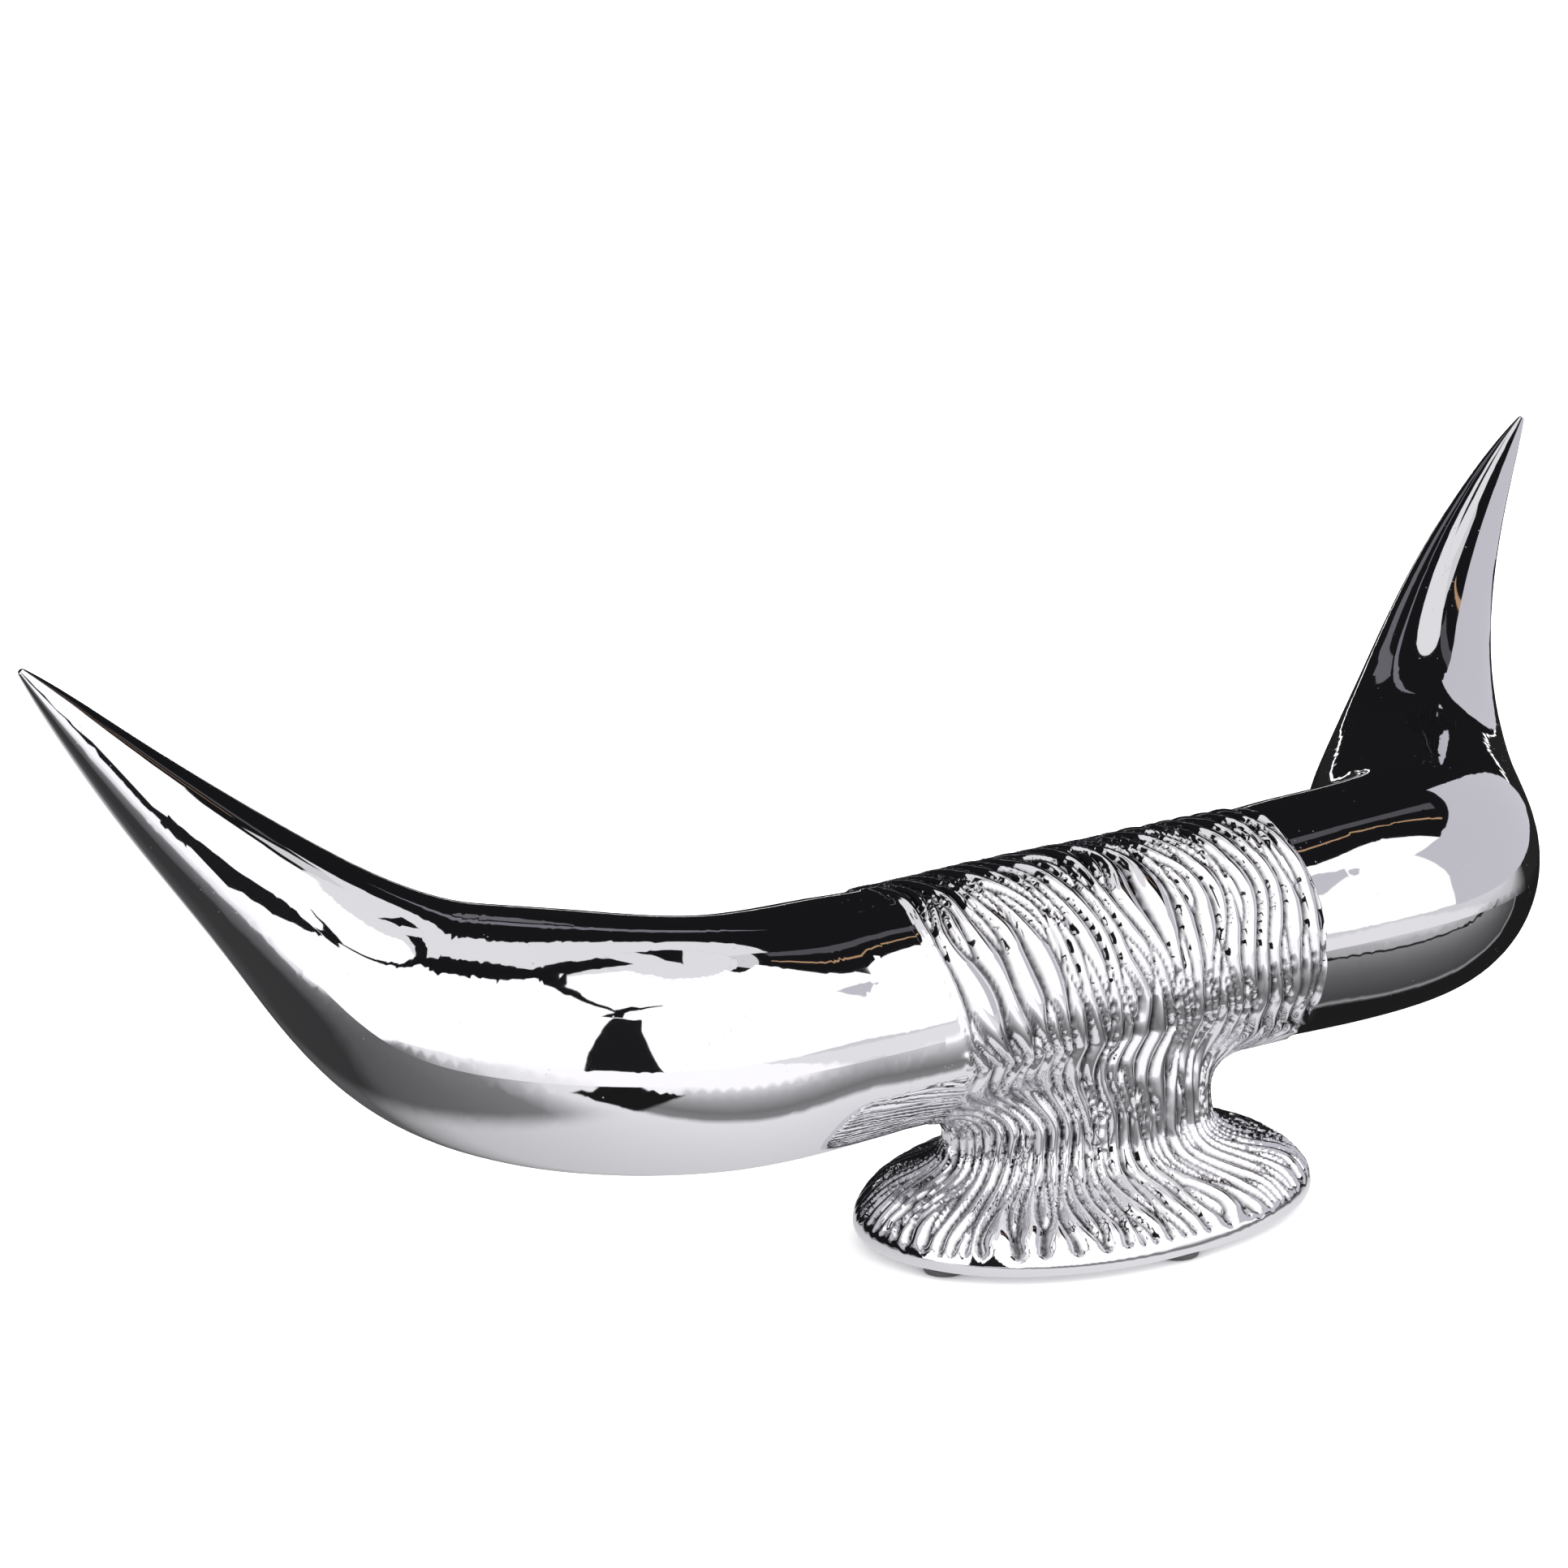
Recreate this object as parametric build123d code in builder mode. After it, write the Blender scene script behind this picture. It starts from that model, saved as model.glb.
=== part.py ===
from build123d import *
import math
import os

# Table sculpture: a pair of polished cattle horns carried by a furred saddle on an oval foot.
#
# Millimetres, +Z up, standing on z = 0. X runs along the straight bar from the left horn to
# the right horn, and the horns sweep out, back (+Y) and up. Two hollow horn castings plug
# into a hollow saddle casting and are pulled home by studs, whose nuts are reached through
# the foot. A plate closes the foot, and rubber bumpers carry it.

# ---- driving dimensions -------------------------------------------------------------------

# bar and horns
bar_height = 66.3  # bar axis above the surface that the bumpers stand on
collar_step = 1.2  # the sleeve stands this far proud of the horn where it leaves it
horn_wall = 3.0
# centre (x, y, height above the bar axis) and outside radius, from the sleeve to the tip
horn_stations = [
    ((80.5, 0.0, 0.0), 32.1),
    ((115.0, -1.0, 2.0), 32.4),
    ((145.5, 26.5, 2.5), 32.8),
    ((165.0, 50.0, 7.5), 29.6),
    ((193.5, 77.0, 35.0), 18.4),
    ((222.5, 94.0, 68.0), 9.7),
    ((240.5, 99.0, 89.5), 4.2),
    ((249.0, 100.5, 99.5), 0.9),
]
horn_sections = 24  # sections that the horn is lofted through
hollow_share = 0.78  # the horn is hollow this far along, and solid beyond
cavity_taper = 0.25  # how fast the hollow widens from the spigot's bore

# saddle: sleeve round the bar, neck and foot
sleeve_half_length = 62.5
sleeve_radius = 32.6
sleeve_wall = 5.05
spigot_clearance = 0.05  # on radius, between spigot and sleeve
chamber_half_length = 22.5  # chamber between the webs, where the nuts are
web_thickness = 6.0  # the two walls inside the sleeve that the studs pass through
web_gap = 1.0  # free space between a spigot's end and its web
neck_semi_x = 40.5
neck_semi_y = 26.0
neck_offset_y = -4.5  # neck centre in front of the bar axis
neck_height = 36.0  # height of the narrowest section
neck_wall = 5.0
throat_margin = 1.5  # the passage up the neck stands this far inside the webs
sleeve_growth_x = 4.0  # how much the neck has widened where it runs into the sleeve
sleeve_growth_y = 3.0

# foot
foot_semi_x = 66.5
foot_semi_y = 48.2
foot_offset_y = -7.3  # foot centre in front of the bar axis
foot_squareness = 2.1  # superellipse exponent of the outline; 2 is an ellipse
rim_band_height = 7.6  # plain band round the foot's edge
rim_edge_radius = 2.4

# base plate and its screws
plate_inset = 15.0  # plate's edge inside the foot's edge
plate_thickness = 2.5
plate_recess = 0.8  # plate's face above the foot's underside
plate_clearance = 0.3
plate_ledge = 11.0  # width of the ledge that the plate seats on
screw_radius = 2.0
screw_head_radius = 3.8
screw_length = 12.0
screw_socket_width = 2.5  # hexagon across flats
screw_socket_depth = 1.3
screw_hole_clearance = 0.25
screw_inset = 5.5  # screw axis inside the plate's edge
screw_count = 4

# horn fastening: plug pressed into the spigot, M8 stud, washers, nut and locating pin
plug_thickness = 12.0
stud_radius = 4.0
stud_hole_clearance = 0.5
stud_stand_out = 3.0  # stud past the nut
flat_washer_radius = 8.0
flat_washer_thickness = 1.6
spring_washer_radius = 7.0
spring_washer_thickness = 2.0
spring_washer_slit = 1.6
washer_hole_clearance = 0.25
nut_across_flats = 13.0
nut_thickness = 6.5
pin_radius = 2.0
pin_depth = 6.0  # how far the locating pin is pressed into the plug
pin_wall = 5.5  # plug left between the pin and the spigot
pin_clearance = 0.05

# bumpers
bumper_radius = 5.5
bumper_height = 2.1  # how far the bumpers hold the foot off the table
bumper_edge_radius = 0.8
bumper_inset = 8.3  # bumper centre inside the foot's edge
bumper_count = 5

# ---- places worked out from the driving dimensions ------------------------------------------

foot_bottom = bumper_height
band_top = foot_bottom + rim_band_height
plate_bottom = foot_bottom + plate_recess
plate_top = plate_bottom + plate_thickness
plate_semi_x = foot_semi_x - plate_inset
plate_semi_y = foot_semi_y - plate_inset
hollow_semi_x = plate_semi_x - plate_ledge
hollow_semi_y = plate_semi_y - plate_ledge
horn_root_radius = sleeve_radius - collar_step
sleeve_bore = sleeve_radius - sleeve_wall
spigot_radius = sleeve_bore - spigot_clearance
spigot_bore = spigot_radius - horn_wall
web_inner = chamber_half_length
web_outer = web_inner + web_thickness
spigot_end = web_outer + web_gap
spigot_length = sleeve_half_length - spigot_end
pin_offset = spigot_bore - pin_wall - pin_radius
flat_washer_end = web_inner - flat_washer_thickness
spring_washer_end = flat_washer_end - spring_washer_thickness
nut_end = spring_washer_end - nut_thickness
stud_end = nut_end - stud_stand_out


def bar_plane(x):
    """Plane square to the bar at x, centred on the bar's axis, its x_dir to the back."""
    return Plane((x, 0, bar_height), x_dir=(0, 1, 0), z_dir=(1, 0, 0))


def foot_plane(z, offset_y=foot_offset_y):
    """Level plane at height z, centred on the foot."""
    return Plane((0, offset_y, z))


def oval_point(semi_x, semi_y, degrees):
    """Point on the foot's kind of oval, a superellipse, at an angle from its centre."""
    cosine = math.cos(math.radians(degrees))
    sine = math.sin(math.radians(degrees))
    power = 2 / foot_squareness
    x = math.copysign(abs(cosine) ** power, cosine) * semi_x
    y = math.copysign(abs(sine) ** power, sine) * semi_y
    return (x, y)


def oval_ring(inset, count, first_angle):
    """Points on the foot's outline moved inward, at even angles."""
    return [
        oval_point(foot_semi_x - inset, foot_semi_y - inset, first_angle + 360 * k / count)
        for k in range(count)
    ]


def oval(plane, semi_x, semi_y):
    """Superellipse face on a plane."""
    with BuildSketch(plane) as section:
        with BuildLine():
            Spline(*[oval_point(semi_x, semi_y, 15 * k) for k in range(24)], periodic=True)
        make_face()
    return section.sketch


def slab(z, semi_x, semi_y, height):
    """Upright oval block standing on z, centred on the foot."""
    with BuildPart() as block:
        extrude(oval(foot_plane(z), semi_x, semi_y), amount=height)
    return block.part


# ---- horns ----------------------------------------------------------------------------------

root = ((sleeve_half_length, 0.0, 0.0), horn_root_radius)
horn_centres = [Vector(x, y, z + bar_height) for (x, y, z), _ in [root] + horn_stations]
horn_radii = [radius for _, radius in [root] + horn_stations]
with BuildLine() as horn_line:
    Spline(*horn_centres, tangents=[(1, 0, 0), horn_centres[-1] - horn_centres[-2]])
horn_axis = horn_line.edge()
horn_shares = [horn_axis.param_at_point(centre) for centre in horn_centres]


def slope(k):
    """How fast the horn's radius changes at one station, per share of its length."""
    before = max(k - 1, 0)
    after = min(k + 1, len(horn_radii) - 1)
    return (horn_radii[after] - horn_radii[before]) / (horn_shares[after] - horn_shares[before])


def horn_radius(share):
    """Outside radius at a share of the horn's length: a cubic between the two stations."""
    k = max(i for i in range(len(horn_shares) - 1) if horn_shares[i] <= share)
    span = horn_shares[k + 1] - horn_shares[k]
    t = (share - horn_shares[k]) / span
    ends = horn_radii[k] + (3 * t**2 - 2 * t**3) * (horn_radii[k + 1] - horn_radii[k])
    return ends + span * ((t**3 - 2 * t**2 + t) * slope(k) + (t**3 - t**2) * slope(k + 1))


def cavity_radius(share):
    """Inside radius: the horn's wall all round, narrowing to the spigot's bore at the root."""
    widened = spigot_bore + cavity_taper * share * horn_axis.length
    return min(horn_radius(share) - horn_wall, widened)


def horn_body(radius_at, end_share, spigot):
    """Horn lofted through even sections square to its centreline, with its spigot."""
    sections = []
    for k in range(horn_sections + 1):
        share = end_share * k / horn_sections
        direction = horn_axis.tangent_at(share)
        across = direction.cross(Vector(0, 0, 1))
        with BuildSketch(Plane(horn_axis.position_at(share), x_dir=across, z_dir=direction)) as section:
            Circle(radius_at(share))
        sections.append(section.sketch)
    with BuildPart() as body:
        loft(sections)
        with BuildSketch(bar_plane(spigot_end)):
            Circle(spigot)
        extrude(amount=spigot_length)
    return body.part


with BuildPart() as right_horn:
    add(horn_body(horn_radius, 1.0, spigot_radius))
    fillet(right_horn.edges().sort_by(Axis.Z)[-1], horn_radii[-1] * 0.8)
    add(horn_body(cavity_radius, hollow_share, spigot_bore), mode=Mode.SUBTRACT)

with BuildPart() as left_horn:
    mirror(right_horn.part, about=Plane.YZ)

# ---- saddle ---------------------------------------------------------------------------------

# the foot's flare: share of the spread from neck to rim, at a share of the rise above the band
flare = [(1.0, 0.0), (0.84, 0.10), (0.57, 0.25), (0.22, 0.40), (0.08, 0.55), (0.03, 0.75), (0.0, 1.0)]


def flare_section(spread, rise, wall):
    """Oval of the flare, or of the hollow under it when a wall is left."""
    semi_x = neck_semi_x + (foot_semi_x - neck_semi_x) * spread - wall
    semi_y = neck_semi_y + (foot_semi_y - neck_semi_y) * spread - wall
    height = band_top + (neck_height - band_top) * rise - wall
    offset_y = neck_offset_y + (foot_offset_y - neck_offset_y) * spread
    return oval(foot_plane(height, offset_y), semi_x, semi_y)


def neck_body():
    """Flare of the foot, the waist and the neck up into the sleeve."""
    shoulder = foot_plane(bar_height - sleeve_radius / 4, neck_offset_y / 2)
    top = oval(shoulder, neck_semi_x + sleeve_growth_x, neck_semi_y + sleeve_growth_y)
    with BuildPart() as body:
        loft([flare_section(spread, rise, 0) for spread, rise in flare])
        loft([flare_section(0, 1, 0), top], ruled=True)
    return body.part


def foot_hollow():
    """Hollow of the foot and neck, from the base plate up into the chamber between the webs."""
    throat_x = web_inner - throat_margin
    throat_y = neck_semi_y - neck_wall
    mouth = oval(foot_plane(plate_top), hollow_semi_x, hollow_semi_y)
    throat = oval(foot_plane(neck_height - neck_wall, neck_offset_y), throat_x, throat_y)
    top = oval(foot_plane(bar_height, neck_offset_y), throat_x, throat_y)
    with BuildPart() as body:
        loft([mouth] + [flare_section(s, r, neck_wall) for s, r in flare[4:6]] + [throat, top], ruled=True)
    return body.part


with BuildPart() as saddle_stand:
    add(slab(foot_bottom, foot_semi_x, foot_semi_y, rim_band_height))
    fillet(saddle_stand.edges().group_by(Axis.Z)[0], rim_edge_radius)
    add(neck_body())
    with BuildSketch(bar_plane(-sleeve_half_length)):
        Circle(sleeve_radius)
    extrude(amount=2 * sleeve_half_length)
    # bores for the two spigots
    with BuildSketch(bar_plane(web_outer), bar_plane(-sleeve_half_length)):
        Circle(sleeve_bore)
    extrude(amount=sleeve_half_length - web_outer, mode=Mode.SUBTRACT)
    # chamber between the webs, open to the foot
    with BuildSketch(bar_plane(-web_inner)):
        Circle(sleeve_bore)
    extrude(amount=2 * web_inner, mode=Mode.SUBTRACT)
    add(foot_hollow(), mode=Mode.SUBTRACT)
    # holes through both webs for the studs and the locating pins
    with BuildSketch(bar_plane(-web_outer)):
        Circle(stud_radius + stud_hole_clearance)
        with Locations((0, pin_offset)):
            Circle(pin_radius + pin_clearance)
    extrude(amount=2 * web_outer, mode=Mode.SUBTRACT)
    # rebate for the base plate, and its screws' threaded holes
    add(
        slab(foot_bottom, plate_semi_x + plate_clearance, plate_semi_y + plate_clearance, plate_top - foot_bottom),
        mode=Mode.SUBTRACT,
    )
    with BuildSketch(foot_plane(plate_top)):
        with Locations(*oval_ring(plate_inset + screw_inset, screw_count, 45)):
            Circle(screw_radius)
    extrude(amount=screw_length - plate_thickness, mode=Mode.SUBTRACT)

# ---- horn fastening -------------------------------------------------------------------------
# Threads are plain cylinders at their nominal size, so a stud fills its plug and its nut.

with BuildPart() as right_horn_plug:
    with BuildSketch(bar_plane(spigot_end)):
        Circle(spigot_bore)
        Circle(stud_radius, mode=Mode.SUBTRACT)
    extrude(amount=plug_thickness)
    with BuildSketch(bar_plane(spigot_end)):
        with Locations((0, pin_offset)):
            Circle(pin_radius)
    extrude(amount=pin_depth, mode=Mode.SUBTRACT)

with BuildPart() as left_horn_plug:
    mirror(right_horn_plug.part, about=Plane.YZ)

with BuildPart() as horn_studs:
    with BuildSketch(bar_plane(stud_end)):
        Circle(stud_radius)
    extrude(amount=spigot_end + plug_thickness - stud_end)
    chamfer(horn_studs.edges().sort_by(Axis.X)[0], stud_radius / 6)
    mirror(about=Plane.YZ)

with BuildPart() as locating_pins:
    with BuildSketch(bar_plane(web_inner)):
        with Locations((0, pin_offset)):
            Circle(pin_radius)
    extrude(amount=spigot_end + pin_depth - web_inner)
    mirror(about=Plane.YZ)

with BuildPart() as flat_washers:
    with BuildSketch(bar_plane(flat_washer_end)):
        Circle(flat_washer_radius)
        Circle(stud_radius + washer_hole_clearance, mode=Mode.SUBTRACT)
    extrude(amount=flat_washer_thickness)
    mirror(about=Plane.YZ)

with BuildPart() as spring_washers:
    with BuildSketch(bar_plane(spring_washer_end)):
        Circle(spring_washer_radius)
        Circle(stud_radius + washer_hole_clearance, mode=Mode.SUBTRACT)
        with Locations((0, spring_washer_radius)):
            Rectangle(spring_washer_slit, 2 * spring_washer_radius, mode=Mode.SUBTRACT)
    extrude(amount=spring_washer_thickness)
    mirror(about=Plane.YZ)

with BuildPart() as stud_nuts:
    with BuildSketch(bar_plane(nut_end)):
        RegularPolygon(nut_across_flats / 2, side_count=6, major_radius=False)
        Circle(stud_radius, mode=Mode.SUBTRACT)
    extrude(amount=nut_thickness)
    mirror(about=Plane.YZ)

# ---- base plate, its screws and the bumpers --------------------------------------------------


def countersunk_bolt(grow):
    """Countersunk screw along +Z with its head's face on z = 0, grown all round for its hole."""
    cone_depth = screw_head_radius - screw_radius
    with BuildPart() as bolt:
        with BuildSketch(Plane.XZ):
            with BuildLine():
                Polyline(
                    (0, 0),
                    (screw_head_radius + grow, 0),
                    (screw_radius + grow, cone_depth),
                    (screw_radius + grow, screw_length),
                    (0, screw_length),
                    close=True,
                )
            make_face()
        revolve(axis=Axis.Z)
    return bolt.part


screw_places = [
    Location((x, y + foot_offset_y, plate_bottom))
    for x, y in oval_ring(plate_inset + screw_inset, screw_count, 45)
]

with BuildPart() as base_plate:
    add(slab(plate_bottom, plate_semi_x, plate_semi_y, plate_thickness))
    with Locations(*screw_places):
        add(countersunk_bolt(screw_hole_clearance), mode=Mode.SUBTRACT)

with BuildPart() as plate_screws:
    with Locations(*screw_places):
        add(countersunk_bolt(0))
    with BuildSketch(foot_plane(plate_bottom)):
        with Locations(*oval_ring(plate_inset + screw_inset, screw_count, 45)):
            RegularPolygon(screw_socket_width / 2, side_count=6, major_radius=False)
    extrude(amount=screw_socket_depth, mode=Mode.SUBTRACT)

with BuildPart() as bumpers:
    with BuildSketch(foot_plane(0)):
        with Locations(*oval_ring(bumper_inset, bumper_count, 270)):
            Circle(bumper_radius)
    extrude(amount=bumper_height)
    fillet(bumpers.edges().group_by(Axis.Z)[0], bumper_edge_radius)

# ---- labels and files ------------------------------------------------------------------------

pieces = {
    "saddle_stand": saddle_stand,
    "left_horn": left_horn,
    "right_horn": right_horn,
    "left_horn_plug": left_horn_plug,
    "right_horn_plug": right_horn_plug,
    "horn_studs": horn_studs,
    "locating_pins": locating_pins,
    "flat_washers": flat_washers,
    "spring_washers": spring_washers,
    "stud_nuts": stud_nuts,
    "base_plate": base_plate,
    "plate_screws": plate_screws,
    "bumpers": bumpers,
}

# the row's origin is under the middle of the sculpture's box
middle_y = (saddle_stand.part.bounding_box().min.Y + right_horn.part.bounding_box().max.Y) / 2

os.makedirs("parts", exist_ok=True)
for name, piece in pieces.items():
    piece.part.label = name
    export_step(Pos(0, -middle_y, 0) * piece.part, f"parts/{name}.step")
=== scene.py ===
"""Looks of a chromed horn sculpture: carved fur saddle, polished horns, fittings and studio.

Metres, in the same frame as the CAD: X along the bar, Y to the back, Z up, the floor at z = 0.
"""
import logging
import math
from dataclasses import dataclass
from enum import Enum
from typing import Sequence, Union

import bpy
import numpy as np
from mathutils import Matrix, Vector


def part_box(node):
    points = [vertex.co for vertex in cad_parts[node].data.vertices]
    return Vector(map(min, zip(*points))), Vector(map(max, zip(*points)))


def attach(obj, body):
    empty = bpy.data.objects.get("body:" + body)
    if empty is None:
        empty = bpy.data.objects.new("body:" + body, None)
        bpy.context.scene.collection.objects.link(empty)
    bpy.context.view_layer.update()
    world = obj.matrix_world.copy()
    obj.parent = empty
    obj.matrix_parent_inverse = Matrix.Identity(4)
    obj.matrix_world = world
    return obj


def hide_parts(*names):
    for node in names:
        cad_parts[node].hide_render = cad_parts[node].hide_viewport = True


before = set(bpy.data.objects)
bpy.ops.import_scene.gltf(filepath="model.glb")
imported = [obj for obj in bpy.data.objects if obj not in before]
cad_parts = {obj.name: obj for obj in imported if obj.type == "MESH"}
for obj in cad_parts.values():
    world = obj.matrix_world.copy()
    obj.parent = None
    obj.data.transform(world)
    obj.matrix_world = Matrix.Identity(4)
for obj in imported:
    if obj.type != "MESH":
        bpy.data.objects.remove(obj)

log = logging.getLogger("horn_sculpture")
Colour = tuple[float, float, float]
MM = 0.001
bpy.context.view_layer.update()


# ---- shader building ------------------------------------------------------------------------


class Wire:
    """A shader socket, or a number, that can be written in arithmetic."""

    def __init__(self, graph: "Graph", source: Union[bpy.types.NodeSocket, float]) -> None:
        """Keep the graph that new Math nodes are added to.

        Args:
            graph: The material's graph.
            source: The socket or number that this wire carries.
        """
        self.graph = graph
        self.source = source

    def _math(self, operation: str, *values: "Operand") -> "Wire":
        """Add one Math node over these values."""
        settings = {"operation": operation}
        return self.graph.add("ShaderNodeMath", settings, dict(enumerate(values))).out(0)

    def __add__(self, other: "Operand") -> "Wire":
        """Sum."""
        return self._math("ADD", self, other)

    def __sub__(self, other: "Operand") -> "Wire":
        """Difference."""
        return self._math("SUBTRACT", self, other)

    def __rsub__(self, other: "Operand") -> "Wire":
        """Difference from a number."""
        return self._math("SUBTRACT", other, self)

    def __mul__(self, other: "Operand") -> "Wire":
        """Product."""
        return self._math("MULTIPLY", self, other)

    def __gt__(self, other: "Operand") -> "Wire":
        """1 where this is the greater, else 0."""
        return self._math("GREATER_THAN", self, other)

    __radd__ = __add__
    __rmul__ = __mul__


Operand = Union[Wire, bpy.types.NodeSocket, float]


class Placed:
    """One node that has been added to a graph."""

    def __init__(self, graph: "Graph", node: bpy.types.Node) -> None:
        """Keep the node and its graph."""
        self.graph = graph
        self.node = node

    def out(self, key: Union[int, str]) -> Wire:
        """One of the node's outputs, ready for arithmetic."""
        return Wire(self.graph, self.node.outputs[key])


class Graph:
    """The node tree of one new material or of the world."""

    MIX_FIRST = 6  # a Mix node's colour sockets have no names of their own
    MIX_SECOND = 7
    MIX_RESULT = 2

    def __init__(self, tree: bpy.types.NodeTree) -> None:
        """Empty the tree and start afresh."""
        tree.nodes.clear()
        self.tree = tree

    def add(self, kind: str, settings: dict, sockets: dict) -> Placed:
        """Add any node.

        Args:
            kind: The node's type name.
            settings: Properties that are set first; "stops" fills a colour ramp.
            sockets: Values or links for the inputs, by name or index.

        Returns:
            The placed node.
        """
        node = self.tree.nodes.new(kind)
        stops = settings.pop("stops", None)
        for name, value in settings.items():
            setattr(node, name, value)
        if stops:
            self._fill_ramp(node.color_ramp, stops)
        for key, value in sockets.items():
            self._feed(node.inputs[key], value)
        return Placed(self, node)

    def _fill_ramp(self, ramp: bpy.types.ColorRamp, stops: Sequence[tuple[float, Colour]]) -> None:
        """Give a colour ramp its stops, lowest first."""
        ramp.elements[1].position = stops[-1][0]
        ramp.elements[0].position = stops[0][0]
        for place, _ in stops[1:-1]:
            ramp.elements.new(place)
        for element, (_, colour) in zip(ramp.elements, stops):
            element.color = (*colour, 1.0)

    def _feed(self, socket: bpy.types.NodeSocket, value: object) -> None:
        """Link a wire or set a plain value on one input."""
        source = value.source if isinstance(value, Wire) else value
        if isinstance(source, bpy.types.NodeSocket):
            self.tree.links.new(source, socket)
        elif isinstance(source, tuple) and len(source) == 3 and socket.type == "RGBA":
            socket.default_value = (*source, 1.0)
        else:
            socket.default_value = source

    def place(self) -> Wire:
        """Position on the object, in metres."""
        return self.add("ShaderNodeTexCoord", {}, {}).out("Object")

    def noise(self, scale: float, detail: float = 2.0) -> Wire:
        """Fractal noise from 0 to 1 over the object.

        Args:
            scale: Blobs per metre.
            detail: Octaves.

        Returns:
            The noise value.
        """
        sockets = {"Vector": self.place(), "Scale": scale, "Detail": detail}
        return self.add("ShaderNodeTexNoise", {}, sockets).out("Fac")

    def ramp(self, value: Wire, stops: Sequence[tuple[float, Colour]]) -> Wire:
        """Colour looked up from a value."""
        return self.add("ShaderNodeValToRGB", {"stops": stops}, {"Fac": value}).out("Color")

    def bump(self, height: Wire, strength: float, distance: float) -> Wire:
        """Normal tilted by a height.

        Args:
            height: The height, from 0 to 1.
            strength: Share of the tilt that shows.
            distance: Height of 1, in metres.

        Returns:
            The normal.
        """
        sockets = {"Height": height, "Strength": strength, "Distance": distance}
        return self.add("ShaderNodeBump", {}, sockets).out("Normal")

    def blend(self, kind: str, share: Union[Wire, float], first: Wire, second: Union[Wire, Colour]) -> Wire:
        """Blend two colours.

        Args:
            kind: Blender's blend type, such as MIX or MULTIPLY.
            share: How much of the second shows, 0 to 1.
            first: The colour below.
            second: The colour above.

        Returns:
            The blended colour.
        """
        settings = {"data_type": "RGBA", "blend_type": kind}
        sockets = {"Factor": share, self.MIX_FIRST: first, self.MIX_SECOND: second}
        return self.add("ShaderNodeMix", settings, sockets).out(self.MIX_RESULT)

    def surface(self, kind: str, sockets: dict) -> None:
        """Add the shader and lead it to the material's output."""
        shader = self.add(kind, {}, sockets)
        self.add("ShaderNodeOutputMaterial", {}, {"Surface": shader.out(0)})


def new_material(name: str) -> tuple[bpy.types.Material, Graph]:
    """Make an empty node material.

    Args:
        name: The material's name.

    Returns:
        The material and its graph.
    """
    material = bpy.data.materials.new(name)
    material.use_nodes = True
    return material, Graph(material.node_tree)


# ---- finishes -------------------------------------------------------------------------------


@dataclass(frozen=True)
class ChromePlate:
    """Mirror chrome with a faint haze, dust specks and tiny pits; where grain is set, painted shade darkens
    the groove bottoms.
    """

    name: str = "mirror_chrome"
    tint: Colour = (0.80, 0.80, 0.82)
    roughness: float = 0.025
    haze: float = 0.03
    speck_scale: float = 420.0
    grain: float = 0.0

    def make(self) -> bpy.types.Material:
        """Build the material."""
        material, graph = new_material(self.name)
        cloud = graph.noise(18.0, 3.0)
        cells = graph.add(
            "ShaderNodeTexVoronoi", {"feature": "F1"}, {"Vector": graph.place(), "Scale": self.speck_scale}
        ).out("Distance")
        sparse = graph.noise(60.0, 1.0) > 0.60
        speck = (1.0 - (cells > 0.10)) * sparse
        height = (1.0 - speck) * 0.6
        if self.grain > 0:
            groove = graph.add("ShaderNodeAttribute", {"attribute_name": "groove"}, {}).out("Fac")
            height = height + graph.noise(700.0, 2.0) * groove * self.grain
        colour = graph.ramp(cloud, [(0.3, self.tint), (0.75, tuple(0.97 * c for c in self.tint))])
        # Painted shade: the colour is darkened where the groove attribute marks a groove's bottom.
        if self.grain > 0:
            colour = self.paint_groove_shade(graph, colour, groove)
        graph.surface(
            "ShaderNodeBsdfPrincipled",
            {
                "Base Color": colour,
                "Metallic": 1.0,
                "Roughness": self.roughness + cloud * self.haze * 0.5 + speck * 0.25,
                "Normal": graph.bump(height, 1.0, 0.00006),
            },
        )
        return material

    def paint_groove_shade(self, graph: Graph, colour: Wire, groove: Wire) -> Wire:
        """Painted shade: darken the colour in the bottoms of the grooves."""
        stops = [(0.28, (1.0, 1.0, 1.0)), (0.95, (0.13, 0.13, 0.135))]
        shade_in_grooves = graph.ramp(groove * (0.72 + graph.noise(500.0, 2.0) * 0.5), stops)
        return graph.blend("MULTIPLY", 1.0, colour, shade_in_grooves)


@dataclass(frozen=True)
class GrainedMetal:
    """Machined or plated metal with fine grain and cloudy colour."""

    name: str
    tint: Colour
    roughness: float
    grain_scale: float = 900.0

    def make(self) -> bpy.types.Material:
        """Build the material."""
        material, graph = new_material(self.name)
        cloud = graph.noise(90.0, 4.0)
        grain = graph.noise(self.grain_scale, 2.0)
        dark = tuple(0.78 * c for c in self.tint)
        graph.surface(
            "ShaderNodeBsdfPrincipled",
            {
                "Base Color": graph.ramp(cloud, [(0.3, dark), (0.7, self.tint)]),
                "Metallic": 1.0,
                "Roughness": self.roughness + grain * 0.18,
                "Normal": graph.bump(grain, 0.4, 0.00004),
            },
        )
        return material


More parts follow.
